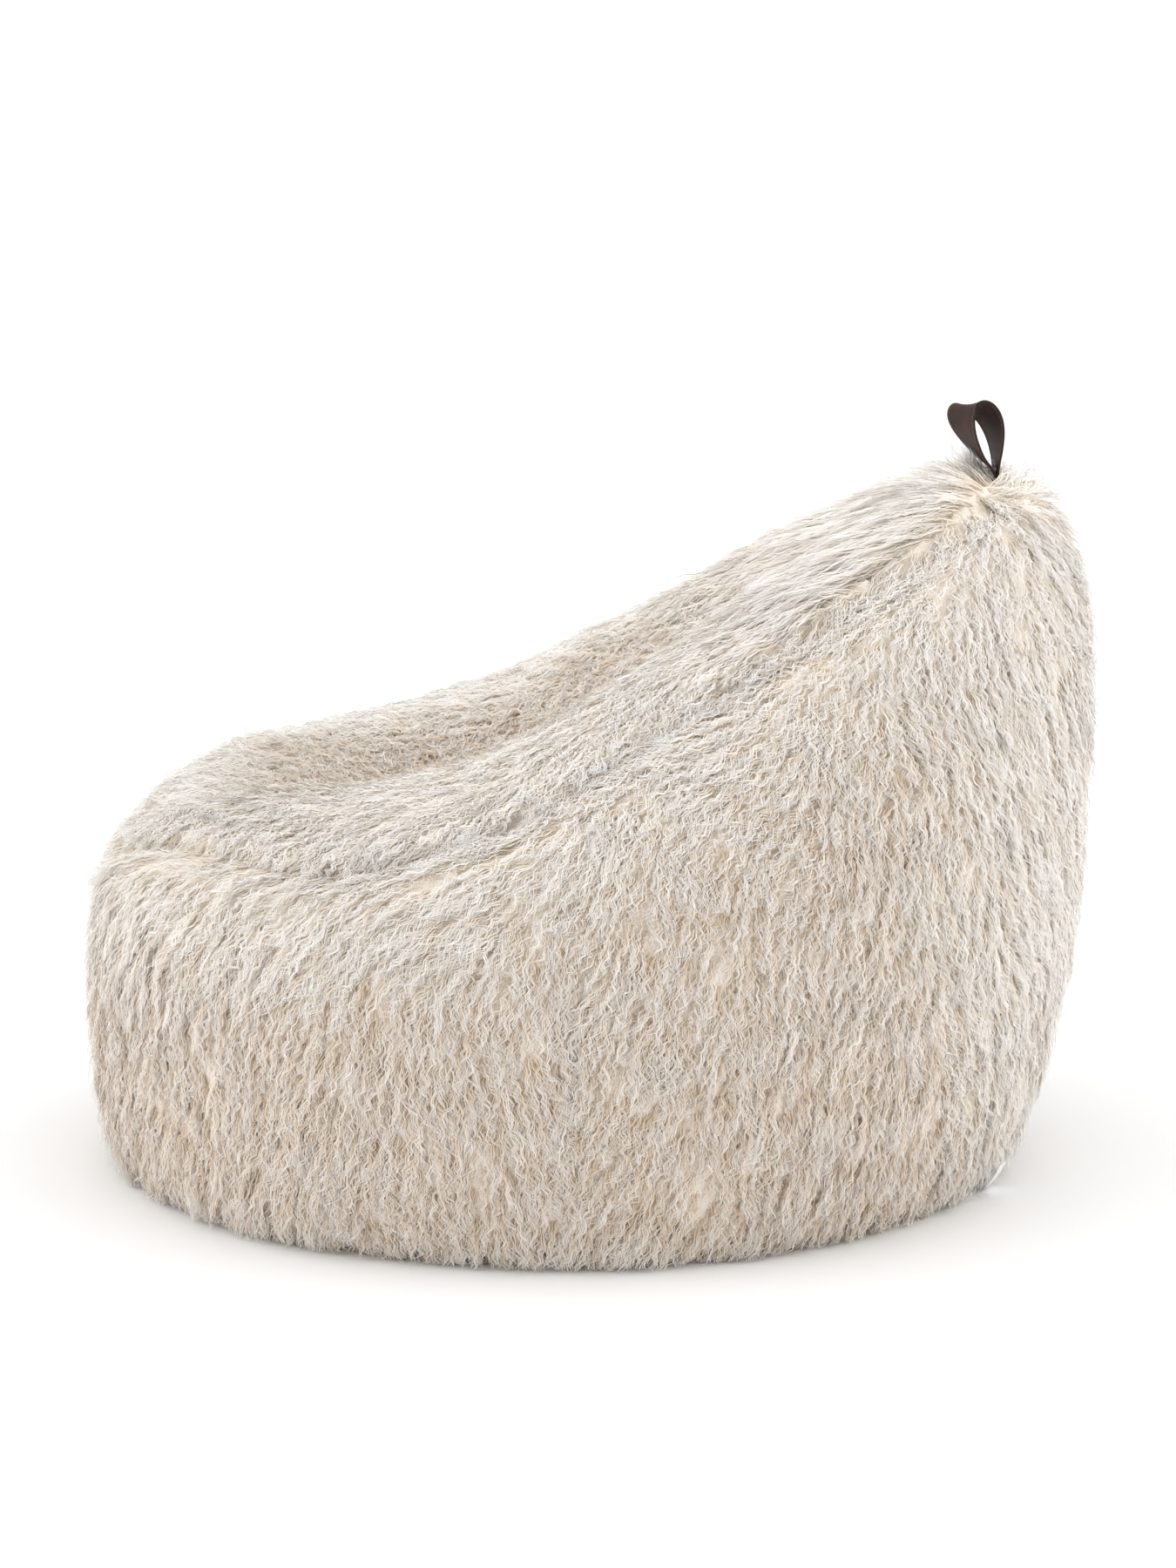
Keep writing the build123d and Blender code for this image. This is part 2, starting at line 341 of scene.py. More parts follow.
def swell(piece, pinned, pressure, cap):
    """Cloth pressure on a piece for a few frames; no point moves further than the cap."""
    start, _ = mesh_arrays(piece.data)
    group = piece.vertex_groups.new(name="seams")
    group.add(np.flatnonzero(pinned).tolist(), 1.0, "REPLACE")
    cloth = piece.modifiers.new("cloth", "CLOTH")
    settings = cloth.settings
    settings.quality = 4
    settings.mass = 0.3
    settings.tension_stiffness = 12
    settings.compression_stiffness = 12
    settings.bending_stiffness = 0.4
    settings.use_pressure = True
    settings.uniform_pressure_force = pressure
    settings.vertex_group_mass = "seams"
    settings.effector_weights.gravity = 0
    cloth.point_cache.frame_end = cloth_frames
    for frame_number in range(1, cloth_frames + 1):
        scene.frame_set(frame_number)
    blown = evaluated_mesh(piece)
    end, _ = mesh_arrays(blown)
    piece.modifiers.clear()
    piece.vertex_groups.clear()
    bpy.data.meshes.remove(blown)
    scene.frame_set(1)
    move = end - start
    far = np.linalg.norm(move, axis=1, keepdims=True)
    move *= np.minimum(1, cap / np.maximum(far, 1e-9))
    piece.data.vertices.foreach_set("co", (start + move).ravel())
    piece.data.update()
    return far.max()


moved = swell(skin, seam < 0.006, 4.0, cloth_cap)
print("cloth moved up to", round(moved * 1000, 1), "mm, capped at", cloth_cap * 1000, "mm")

# %% Cut the skin into its panels
backing_names = {"seat_panel": "seat_backing", "front_wall_panel": "front_wall_backing"}
backing_names["back_wall_panel"] = "back_wall_backing"

knit, tree, bsdf = new_material("knit_backing", Roughness=0.9)
place = add_node(tree, "TexCoord")
patches = add_node(tree, "TexNoise", Scale=35.0, Detail=4.0)
tree.links.new(place.outputs["Object"], patches.inputs["Vector"])
tone = ramp(tree, patches.outputs["Fac"], [(0.3, (0.90, 0.81, 0.70)), (0.7, (0.94, 0.87, 0.78))])
tree.links.new(tone, bsdf.inputs["Base Color"])
loops = add_node(tree, "TexVoronoi", Scale=450.0)
tree.links.new(place.outputs["Object"], loops.inputs["Vector"])
bump(tree, bsdf, loops.outputs["Distance"], 0.001, 0.6)

skin_points, skin_faces = mesh_arrays(skin.data)
skin_normals = vertex_normals(skin.data)
middles = skin_points[skin_faces].mean(axis=1)
face_panel = panel_distances(middles).argmin(axis=1)
face_panel[middles[:, 2] < skin_bottom + 0.002] = -1


def cut_panel(name, points, faces, material):
    """Some faces of the skin as a piece of their own."""
    used, renumbered = np.unique(faces, return_inverse=True)
    mesh = bpy.data.meshes.new(name)
    mesh.from_pydata(points[used].tolist(), [], renumbered.reshape(-1, 3).tolist())
    mesh.polygons.foreach_set("use_smooth", [True] * len(mesh.polygons))
    mesh.materials.append(material)
    piece = bpy.data.objects.new(name, mesh)
    scene.collection.objects.link(piece)
    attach(piece, "bag")
    return piece


backings = {}
for number, panel in enumerate(panel_names):
    backings[panel] = cut_panel(backing_names[panel], skin_points, skin_faces[face_panel == number], knit)
    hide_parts(panel)
    print(backing_names[panel], len(backings[panel].data.polygons), "faces")
bpy.data.objects.remove(skin)

# %% [markdown]
# ## The fur
#
# The pile is long, wavy and gathered into locks, like combed sheepskin. Hair particles would look right in
# a render but are not a mesh, so every lock is a small bundle of flat tapering strands. Each
# starts on the backing, rises, leans over along the nap and curls. Because all locks share one recipe,
# arrays build them many thousands at a time. A map keeps each lock's tone across and the place from root to
# tip along, so that one finish serves them all: tan roots, cream tips, and a tone that fades to the tip.
# The tan of the roots is partly painted shade among the strands, and each lock's tone carries painted light
# and shade: paler on the crests and the back, tan in the hollow and near the floor.

# %% Fur finish
# Darker tan towards the roots: partly the fur's own colour, partly painted shade among the strands.
root_colour = (0.93, 0.83, 0.69)
middle_colour = (0.96, 0.915, 0.855)
tip_colour = (0.97, 0.96, 0.95)

fur, tree, bsdf = new_material("long_pile", Roughness=0.6, Specular_IOR_Level=0.25, Sheen_Weight=0.15)
strand_map = add_node(tree, "UVMap", uv_map="OFBake")
split = add_node(tree, "SeparateXYZ")
tree.links.new(strand_map.outputs["UV"], split.inputs["Vector"])
along = ramp(
    tree, split.outputs["Y"], [(0.0, root_colour), (0.45, middle_colour), (0.95, tip_colour)]
)
# The lock tone holds the fur's random tone together with painted light and shade.
lock_tone_and_painted_light = ramp(
    tree, split.outputs["X"], [(0.0, (0.78, 0.67, 0.55)), (0.5, (0.93, 0.885, 0.83)), (1.0, (1, 1, 1))]
)
toned = add_node(tree, "MixRGB", blend_type="MULTIPLY")
fading = add_node(tree, "MapRange", From_Min=0.35, From_Max=1.0, To_Min=1.0, To_Max=0.3)
tree.links.new(split.outputs["Y"], fading.inputs["Value"])
tree.links.new(fading.outputs["Result"], toned.inputs["Fac"])
tree.links.new(along, toned.inputs["Color1"])
tree.links.new(lock_tone_and_painted_light, toned.inputs["Color2"])
tree.links.new(toned.outputs["Color"], bsdf.inputs["Base Color"])
print("fur finish: roots", root_colour, "tips", tip_colour)

# %% Where locks grow
seat_spacing = 0.0049
wall_spacing = 0.0064


def scatter(mesh, count):
    """Random points on a mesh, even by area, with their normals."""
    points, triangles = mesh_arrays(mesh)
    normals = vertex_normals(mesh)
    a, b, c = points[triangles[:, 0]], points[triangles[:, 1]], points[triangles[:, 2]]
    area = np.linalg.norm(np.cross(b - a, c - a), axis=1) / 2
    chosen = triangles[rng.choice(len(triangles), count, p=area / area.sum())]
    u, v = rng.random((2, count, 1))
    fold = u + v > 1
    u, v = np.where(fold, 1 - u, u), np.where(fold, 1 - v, v)
    weights = np.concatenate([1 - u - v, u, v], axis=1)[:, :, None]
    return (points[chosen] * weights).sum(axis=1), unit((normals[chosen] * weights).sum(axis=1))


def unit(vectors):
    """Vectors of length one."""
    return vectors / (np.linalg.norm(vectors, axis=-1, keepdims=True) + 1e-12)


def mesh_area(mesh):
    """Surface area of a mesh."""
    return sum(polygon.area for polygon in mesh.polygons)


roots = {}
for panel, backing in backings.items():
    spacing = seat_spacing if panel == "seat_panel" else wall_spacing
    count = int(mesh_area(backing.data) / spacing**2)
    roots[panel] = scatter(backing.data, count)
    print(backing.name, "area", round(mesh_area(backing.data), 3), "m2,", count, "locks")

# %% [markdown]
# ## The nap
#
# Fur lies the way it is brushed and the way it hangs. On the walls it hangs down, on the seat it runs
# forward and over the arms, in the hollow it is tousled, and beside the handle it stands up in tufts. One
# lean for all would look like a carpet, so the seat has soft zones and slow noise turns the lean a little.

# %% Zones of the fur
handle_foot = np.array([0, 0.409, 0.675])
handle_reach = np.array([0.06, 0.034, 0.045])
waves = rng.normal(size=(3, 10, 3))
wave_phases = rng.uniform(0, 2 * math.pi, (3, 10))


def drift(places, layer, wavelength):
    """Smooth noise between about -1 and 1 from a few crossing waves."""
    swings = places @ (waves[layer].T * (2 * math.pi / wavelength / 1.7)) + wave_phases[layer]
    return np.sin(swings).sum(axis=1) / 4.5


def smooth_step(value, low, high):
    """0 below low, 1 above high and an even slope between."""
    share = np.clip((value - low) / (high - low), 0, 1)
    return share * share * (3 - 2 * share)


def zones(panel, places):
    """How far each place lies in the seat's hollow, on its arms and on its backrest, from 0 to 1."""
    if panel != "seat_panel":
        return np.zeros((3, len(places)))
    side, y = np.abs(places[:, 0]), places[:, 1]
    backrest = smooth_step(y, 0.02, 0.28)
    arms = np.maximum(smooth_step(side, 0.12, 0.18), smooth_step(-y, 0.27, 0.35)) * (1 - backrest)
    hollow = (1 - smooth_step(side, 0.07, 0.17)) * (1 - backrest) * smooth_step(y, -0.34, -0.24)
    return np.array([hollow, arms, backrest])


def by_handle(places):
    """How near each place is to the foot of the handle, from 0 to 1."""
    return np.exp(-(((places - handle_foot) / handle_reach) ** 2).sum(axis=1))


for name, (places, _) in roots.items():
    shares = zones(name, places).mean(axis=1)
    print(name, "share in hollow, arms and backrest:", [round(share, 2) for share in shares])


# %% Which way the nap lies
plain_stand = 34  # degrees from the skin
hollow_stand = 4  # added in the hollow, and so on
arms_stand = -14
backrest_stand = -6
handle_stand = 46


def by_seam(panel, places):
    """How near each place is to the seam between the seat and the walls, from 0 to 1."""
    across = ["front_wall_panel", "back_wall_panel"] if panel == "seat_panel" else ["seat_panel"]
    nearest = [min(panels[name].find_nearest(place)[3] for name in across) for place in places]
    return 1 - smooth_step(np.array(nearest), 0.01, 0.13)


def nap(panel, places, normals):
    """Direction in which the locks lean along the surface, and how far they stand up, in degrees."""
    x, y = places[:, 0], places[:, 1]
    hollow, arms, backrest = zones(panel, places)
    at_seam = by_seam(panel, places)
    lean = np.zeros_like(places)
    if panel == "seat_panel":
        sideways = arms * (0.15 + 1.1 * np.abs(normals[:, 0]) + 0.7 * at_seam)
        sideways = sideways + 0.5 * backrest * smooth_step(np.abs(x), 0.06, 0.16)
        lean[:, 0] = np.clip(x / 0.12, -1, 1) * sideways
        lean[:, 1] = -1
        lean[:, 2] = -0.6
    elif panel == "back_wall_panel":
        lean[:, 1] = -(0.35 + 0.6 * at_seam) * (1 - smooth_step(y, 0.15, 0.45))
        lean[:, 2] = -1
    else:
        lean[:, 1] = -0.08 - 0.8 * at_seam
        lean[:, 2] = -1
    near = by_handle(places)[:, None]
    lean = lean * (1 - 0.8 * near) + unit(handle_foot - places) * near
    stand = plain_stand + hollow_stand * hollow + arms_stand * arms + backrest_stand * backrest
    stand = stand + handle_stand * by_handle(places)
    lean = unit(lean - normals * (lean * normals).sum(axis=1, keepdims=True))
    turn = 0.28 * drift(places, 0, 0.22) + 0.22 * drift(places, 1, 0.06)
    turn = turn + rng.normal(0, 0.16 + 0.55 * hollow)
    across = np.cross(normals, lean)
    return lean * np.cos(turn)[:, None] + across * np.sin(turn)[:, None], stand


# %% Middle line of a lock
lock_points = 9
lock_length = 0.042
curl_size = 0.0034
tuft_lift = 60  # degrees by which tips stand up beside the handle


def lock_lines(panel, places, normals):
    """Middle lines of the locks, with the directions across and out."""
    count = len(places)
    flow, stand = nap(panel, places, normals)
    across = np.cross(normals, flow)
    share = np.linspace(0, 1, lock_points)
    length = lock_length * (1 + 0.16 * drift(places, 2, 0.15)) * rng.uniform(0.75, 1.15, count)
    curl = curl_size * rng.uniform(0.5, 1.5, count)
    hollow, arms, backrest = zones(panel, places)
    zone_length = 0.2 * backrest - 0.2 * hollow - 0.12 * arms + 0.15 * by_handle(places)
    length = length * (1 + zone_length)
    length = np.minimum(length, 0.016 + 0.9 * places[:, 2])
    curl = curl * (1 + 0.4 * hollow - 0.6 * backrest)
    lift = np.radians(stand + 6 * drift(places, 1, 0.08) + rng.normal(0, 6, count))
    tip_lift = np.radians(rng.normal(1, 8, count) + tuft_lift * by_handle(places))
    angle = lift[:, None] * (1 - share) ** 1.4 + tip_lift[:, None] * share
    step = length[:, None] / (lock_points - 1)
    forward = np.cumsum(np.cos(angle) * step, axis=1) - np.cos(angle[:, :1]) * step
    height = np.cumsum(np.sin(angle) * step, axis=1) - np.sin(angle[:, :1]) * step
    turns = rng.uniform(2.0, 3.2, count)[:, None] * share + rng.random(count)[:, None]
    size = curl[:, None] * share**0.6
    sway = size * np.sin(2 * math.pi * turns)
    rise = 0.5 * size * np.cos(2 * math.pi * turns) + height
    lines = places[:, None, :] + flow[:, None, :] * forward[:, :, None]
    lines = lines + across[:, None, :] * sway[:, :, None] + normals[:, None, :] * rise[:, :, None]
    return lines, across, share


print("locks:", lock_length * 1000, "mm long,", lock_points, "points each")

# %% Strands of a lock
lock_strands = 5
lock_radius = 0.0033
strand_width = 0.0009
wobble_size = 0.0006
floor_clear = 0.0015
skin_share = 0.8  # how much of a strand's shading follows the skin under it
round_share = 0.25  # and how round its section looks


def strand_lines(lines, across, normals, share):
    """The strands of each lock: apart at the root, gathered at the tip."""
    count = len(lines)
    offset = rng.normal(0, 0.6, (count, lock_strands, 2)) * lock_radius
    gather = (1 - 0.4 * share)[None, None, :, None]
    phase = rng.uniform(0, 2 * math.pi, (count, lock_strands, 1))
    wobble = wobble_size * np.sin(phase + share * rng.uniform(6, 12, (count, lock_strands, 1)))
    side = across[:, None, None, :] * (offset[:, :, None, :1] * gather + wobble[:, :, :, None])
    out = normals[:, None, None, :] * offset[:, :, None, 1:] * gather
    reach = rng.uniform(0.78, 1.0, (count, lock_strands, 1, 1))
    start = lines[:, None, :1, :]
    return start + (lines[:, None] - start) * reach + side + out


def ribbons(strands, normals, share, upright):
    """Left and right edges of flat tapering strands, with soft normals that follow the skin if they lie."""
    along = unit(np.gradient(strands, axis=2))
    out = normals[:, None, None, :]
    flat = unit(np.cross(along, out))
    edge = np.cross(flat, along)
    roll = rng.normal(0, 0.35, strands.shape[:2])[:, :, None, None]
    half = strand_width / 2 * (1.03 - share**1.7)[None, None, :, None] ** 0.7
    wide = flat * np.cos(roll) + edge * np.sin(roll)
    facing = edge * np.cos(roll) - flat * np.sin(roll)
    edges = np.stack([strands - wide * half, strands + wide * half], axis=3)
    edges[..., 2] = np.maximum(edges[..., 2], floor_clear)
    follow = skin_share * (1 - upright)[:, None, None, None]
    soft = follow * out + (1 - follow) * facing
    shading = np.stack([soft - round_share * wide, soft + round_share * wide], axis=3)
    return edges, unit(shading)


print("strands:", lock_strands, "to a lock,", strand_width * 1000, "mm wide")


# %% Where light and shade are painted on the fur
def painted_light_and_shade(panel, places):
    """Shift of the locks' tone that paints light and shade: white where light falls on the crests and the
    back, tan where shade falls in the hollow and near the floor.
    """
    hollow, arms, backrest = zones(panel, places)
    if panel == "seat_panel":
        # Painted light on the arms and backrest, painted shade in the hollow.
        return 0.5 * arms + 0.5 * backrest - 0.4 * hollow
    # On the walls: painted light by the seam, at the rear and beside the handle; painted shade over all the
    # walls and more near the floor.
    low = 1 - smooth_step(places[:, 2], 0.05, 0.30)
    rear = smooth_step(places[:, 1], 0.25, 0.48)
    pale = 0.6 * by_seam(panel, places) + 0.7 * rear + 0.5 * by_handle(places)
    return pale - 0.22 - 0.25 * low


# %% Build the fur pieces
most_triangles = 190000


def strand_mesh(name, edges, shading, tones_and_painted_light, share):
    """One mesh of many ribbons, with a map of lock tone, painted light and shade included, and place along
    the strand.
    """
    count = edges.shape[0] * edges.shape[1]
    rows = edges.shape[2]
    first = np.arange(count)[:, None] * rows * 2
    left = first + np.arange(rows - 1)[None, :] * 2
    quads = np.stack([left, left + 1, left + 3, left + 2], axis=2).reshape(-1, 4)
    mesh = bpy.data.meshes.new(name)
    mesh.vertices.add(count * rows * 2)
    mesh.vertices.foreach_set("co", edges.ravel())
    mesh.loops.add(quads.size)
    mesh.loops.foreach_set("vertex_index", quads.ravel())
    mesh.polygons.add(len(quads))
    mesh.polygons.foreach_set("loop_start", np.arange(len(quads)) * 4)
    mesh.polygons.foreach_set("use_smooth", np.ones(len(quads), dtype=bool))
    mesh.update(calc_edges=True)
    map_width = 0.004
    u = np.repeat(0.01 + 0.97 * tones_and_painted_light, edges.shape[1])[:, None, None]
    u = u + map_width * np.array([0, 1, 1, 0])[None, None, :]
    low = 0.005 + 0.99 * share[:-1]
    high = 0.005 + 0.99 * share[1:]
    v = np.stack([low, low, high, high], axis=1)[None, :, :]
    u, v = np.broadcast_arrays(u, v)
    layer = mesh.uv_layers.new(name="OFBake")
    layer.data.foreach_set("uv", np.stack([u, v], axis=3).ravel())
    soft = mesh.attributes.new("custom_normal", "FLOAT_VECTOR", "POINT")
    soft.data.foreach_set("vector", shading.ravel())
    mesh.materials.append(fur)
    return mesh


def grow_fur(panel, word):
    """All the locks of a panel, in pieces small enough to hand on whole."""
    places, normals = roots[panel]
    order = np.argsort(np.arctan2(places[:, 0], -places[:, 1]))
    per_lock = lock_strands * (lock_points - 1) * 2
    pieces = math.ceil(len(places) * per_lock / most_triangles)
    for number, chosen in enumerate(np.array_split(order, pieces), 1):
        lines, across, share = lock_lines(panel, places[chosen], normals[chosen])
        strands = strand_lines(lines, across, normals[chosen], share)
        edges, shading = ribbons(strands, normals[chosen], share, by_handle(places[chosen]))
        name = f"{word}_fur_{number}"
        # Each lock's tone: random, plus painted light and shade.
        tones_and_painted_light = np.clip(rng.random(len(chosen)) + painted_light_and_shade(panel, places[chosen]), 0, 1)
        mesh = strand_mesh(name, edges, shading, tones_and_painted_light, share)
        piece = bpy.data.objects.new(name, mesh)
        scene.collection.objects.link(piece)
        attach(piece, "bag")
    print(word, "fur:", len(places), "locks in", pieces, "pieces")


grow_fur("seat_panel", "seat")
grow_fur("front_wall_panel", "front_wall")
grow_fur("back_wall_panel", "back_wall")

# %% [markdown]
# ## The strap handle
#
# The handle is a flat leather strap, folded into a loop and sewn into the top seam. It hangs a little
# twisted. A swept box would have sharp edges, so the strap is swept from a section with rounded edges and
# two sewing grooves, along the same drop-shaped line as its solid.

# %% Strap line
handle_place = 0.409
handle_root = 0.66495
loop_height = 0.068
loop_half_width = 0.014
loop_lean = 0.024
loop_turn = math.radians(19)
loop_neck = 0.14
top_twist = math.radians(46)
top_tilt = math.radians(10.5)
twist_growth = 1.3
root_half_gap = 0.0014
strap_rows = 121


def strap_point(share):
    """Middle line of the strap, from one sewn end round to the other."""
    turn = math.pi * share
    rise = math.sin(turn)
    spread = 1 - math.exp(-((rise / loop_neck) ** 2))
    across = -loop_half_width * math.sin(2 * turn) * spread - root_half_gap * math.cos(turn)
    x = -across * math.sin(loop_turn)
    y = handle_place + across * math.cos(loop_turn) - loop_lean * rise * spread
    return np.array([x, y, handle_root + loop_height * rise])


def strap_frame(share):
    """Point, direction across the strap and direction to the loop's inside."""
    step = 0.0005
    tangent = unit(strap_point(share + step) - strap_point(share - step))
    growth = abs(math.sin(math.pi * share)) ** twist_growth
    twist = top_twist * growth
    across = np.array([math.cos(twist), math.sin(twist), math.tan(top_tilt) * growth])
    across = unit(across - tangent * (across @ tangent))
    return strap_point(share), across, np.cross(tangent, across)


print("strap line: top at", round(strap_point(0.5)[2], 3), "m")

# %% Leather
leather, tree, bsdf = new_material("dark_leather", Specular_IOR_Level=0.2)
place = add_node(tree, "TexCoord")
grain = add_node(tree, "TexVoronoi", Scale=900.0)
tree.links.new(place.outputs["Object"], grain.inputs["Vector"])
clouds = add_node(tree, "TexNoise", Scale=60.0, Detail=6.0)
tree.links.new(place.outputs["Object"], clouds.inputs["Vector"])
hide = ramp(tree, clouds.outputs["Fac"], [(0.3, (0.024, 0.012, 0.010)), (0.7, (0.055, 0.028, 0.023))])
tree.links.new(hide, bsdf.inputs["Base Color"])
shine = add_node(tree, "MapRange", To_Min=0.45, To_Max=0.6)
tree.links.new(clouds.outputs["Fac"], shine.inputs["Value"])
tree.links.new(shine.outputs["Result"], bsdf.inputs["Roughness"])
bump(tree, bsdf, grain.outputs["Distance"], 0.0003, 0.35)
print("leather: dark brown with a fine grain")

# %% Strap section
strap_width = 0.040
strap_thickness = 0.0022
edge_round = 0.0009
groove_place = 0.017
groove_half = 0.0009
groove_depth = 0.0003
rim_height = 0.0002
corner_turns = (0, 0.5, 1.05, 1.57)


def strap_section():
    """Outline of the strap's section: rounded edges and a sewing groove near each edge."""
    half = strap_thickness / 2
    flat = strap_width / 2 - edge_round
    corner = []
    for turn in corner_turns:
        corner.append((flat + edge_round * math.sin(turn), half - edge_round * (1 - math.cos(turn))))
    face = half - rim_height
    groove = [
        (groove_place - groove_half, face),
        (groove_place, face - groove_depth),
        (groove_place + groove_half, half),
    ]
    right = [(0, face)] + groove + corner
    lower = [(x, -z) for x, z in reversed(right)]
    one_side = right + lower
    other_side = [(-x, z) for x, z in reversed(one_side[1:-1])]
    return one_side + other_side


section = strap_section()
print("strap section:", len(section), "points")

# %% Sweep the strap
verts = []
for row in range(strap_rows):
    middle, across, inside = strap_frame(row / (strap_rows - 1))
    verts += [middle + across * a + inside * b for a, b in section]
ring = len(section)
faces = []
for row in range(strap_rows - 1):
    for i in range(ring):
        j = (i + 1) % ring
        faces.append((row * ring + i, row * ring + j, (row + 1) * ring + j, (row + 1) * ring + i))
faces.append(tuple(reversed(range(ring))))
faces.append(tuple(range((strap_rows - 1) * ring, strap_rows * ring)))
strap_mesh = bpy.data.meshes.new("strap_loop")
strap_mesh.from_pydata([tuple(v) for v in verts], [], faces)
strap_mesh.polygons.foreach_set("use_smooth", [True] * len(faces))
strap_mesh.materials.append(leather)
strap = bpy.data.objects.new("strap_loop", strap_mesh)
scene.collection.objects.link(strap)
rounds = strap.modifiers.new("rounds", "SUBSURF")
rounds.levels = 1
rounds.render_levels = 1
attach(strap, "handle")
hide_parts("handle_strap")
print("strap:", strap_rows, "rows of", ring, "points")

# %% [markdown]
# ## Stitches
#
# Two rows of thread hold the strap's edges, on both of its faces. A painted dashed line would look flat
# close up, so each stitch is a short thread of its own that dips into the groove at both ends.

# %% Thread
thread, tree, bsdf = new_material("strap_thread", Roughness=0.7)
place = add_node(tree, "TexCoord")
ply = add_node(tree, "TexNoise", Scale=1500.0, Detail=2.0)
tree.links.new(place.outputs["Object"], ply.inputs["Vector"])
twine = ramp(tree, ply.outputs["Fac"], [(0.3, (0.10, 0.065, 0.05)), (0.7, (0.19, 0.13, 0.10))])
tree.links.new(twine, bsdf.inputs["Base Color"])
bump(tree, bsdf, ply.outputs["Fac"], 0.0002, 0.5)
print("thread: brown, a little paler than the strap")

# %% Strap stitching
stitch_pitch = 0.0042
stitch_length = 0.0034
thread_radius = 0.00042
thread_sides = 6
stitched_share = 0.9

loop_length = sum(
    np.linalg.norm(strap_point((i + 1) / 200) - strap_point(i / 200)) for i in range(200)
)


def stitch(bm, share, place, face):
    """One stitch: a short thread that dips into the strap at both ends."""
    reach = stitch_length / loop_length / 2
    rings = []
    for step in (-1, -0.7, 0, 0.7, 1):
        point, across, inside = strap_frame(share + step * reach)
        sink = rim_height + groove_depth + thread_radius * (0.3 + 0.9 * abs(step) ** 3)
        middle = point + across * place + inside * face * (strap_thickness / 2 + thread_radius - sink)
        size = thread_radius * (1 - 0.35 * abs(step) ** 2)
        around = []
        for i in range(thread_sides):
            turn = 2 * math.pi * i / thread_sides
            spoke = across * math.cos(turn) + inside * math.sin(turn)
            around.append(bm.verts.new(middle + spoke * size))
        rings.append(around)
    for low, high in zip(rings, rings[1:]):
        for i in range(thread_sides):
            j = (i + 1) % thread_sides
            bm.faces.new((low[i], low[j], high[j], high[i]))
    bm.faces.new(reversed(rings[0]))
    bm.faces.new(rings[-1])


bm = bmesh.new()
stitches = int(loop_length * stitched_share / stitch_pitch)
for i in range(stitches):
    share = 0.5 + stitched_share * ((i + 0.5) / stitches - 0.5)
    for place in (-groove_place, groove_place):
        for face in (-1, 1):
            stitch(bm, share, place, face)
bmesh.ops.recalc_face_normals(bm, faces=bm.faces)
stitch_mesh = bpy.data.meshes.new("strap_stitches")
bm.to_mesh(stitch_mesh)
bm.free()
stitch_mesh.polygons.foreach_set("use_smooth", [True] * len(stitch_mesh.polygons))
stitch_mesh.materials.append(thread)
stitching = bpy.data.objects.new("strap_stitches", stitch_mesh)
scene.collection.objects.link(stitching)
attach(stitching, "handle")
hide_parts("handle_stitching")
print("stitching:", stitches * 4, "stitches on a loop of", round(loop_length * 1000), "mm")

# %% [markdown]
# ## The bare label
#
# A small satin ribbon label stands out of the base seam at the rear and carries no words. A plain box would
# look like card, so it is a thin sheet on a grid that bows a little and narrows at its top corners. Its
# hinge gives its foot, and its solid gives its size.

# %% Satin
satin, tree, bsdf = new_material("satin_ribbon", Roughness=0.45, Sheen_Weight=0.2)
place = add_node(tree, "TexCoord")
weft = add_node(tree, "TexWave", Scale=900.0, Distortion=0.4)
tree.links.new(place.outputs["Object"], weft.inputs["Vector"])
white_tone = ramp(tree, weft.outputs["Fac"], [(0.0, (0.80, 0.80, 0.79)), (1.0, (0.88, 0.88, 0.87))])
tree.links.new(white_tone, bsdf.inputs["Base Color"])
bump(tree, bsdf, weft.outputs["Fac"], 0.0001, 0.3)
print("satin: white ribbon with fine wefts")

# %% Label
label_rows = 14
label_columns = 10
label_thickness = 0.0006
label_bow = 0.0025
corner_start = 0.86  # where the top corners begin to narrow
corner_narrow = 0.12

label_points, _ = mesh_arrays(nodes["care_label"].data)
hinge = next(joint for joint in frame["record"]["behaviour"]["joints"] if joint["name"] == "label_flip")
foot = np.array(hinge["pos_m"])
sideways = unit(np.array(hinge["axis"]))
reach = label_points - foot
top = reach[reach[:, 2].argmax()]
upward = unit(top - sideways * (top @ sideways))
facing = np.cross(sideways, upward)
label_half = np.abs(reach @ sideways).max()
label_height = (reach @ upward).max()
verts = []
for row in range(label_rows + 1):
    for column in range(label_columns + 1):
        u = 2 * column / label_columns - 1
        v = row / label_rows
        narrow = 1 - corner_narrow * max(0, v - corner_start) / (1 - corner_start) * u * u
        bow = label_bow * math.sin(math.pi * v) * (1 - 0.5 * u * u)
        verts.append(foot + sideways * u * label_half * narrow + upward * v * label_height + facing * bow)
faces = []
for row in range(label_rows):
    for column in range(label_columns):
        i = row * (label_columns + 1) + column
        faces.append((i, i + 1, i + label_columns + 2, i + label_columns + 1))
label_mesh = bpy.data.meshes.new("ribbon_label")
label_mesh.from_pydata([tuple(v) for v in verts], [], faces)
label_mesh.polygons.foreach_set("use_smooth", [True] * len(faces))
label_mesh.materials.append(satin)
label = bpy.data.objects.new("ribbon_label", label_mesh)
scene.collection.objects.link(label)
thick = label.modifiers.new("thick", "SOLIDIFY")
thick.thickness = label_thickness
thick.offset = 0
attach(label, "label")
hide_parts("care_label")
print("label:", round(label_half * 2000, 1), "by", round(label_height * 1000, 1), "mm")

# %% [markdown]
# ## The woven base
#
# The base is a flat woven cloth in two halves, drawn up to a zip. The solids could stay as they are, but
# they are too even for sewn cloth. Cut on a grid, each half can take the shallow puckers that sewing leaves
# beside the zip, without lifting off the floor at its rim.

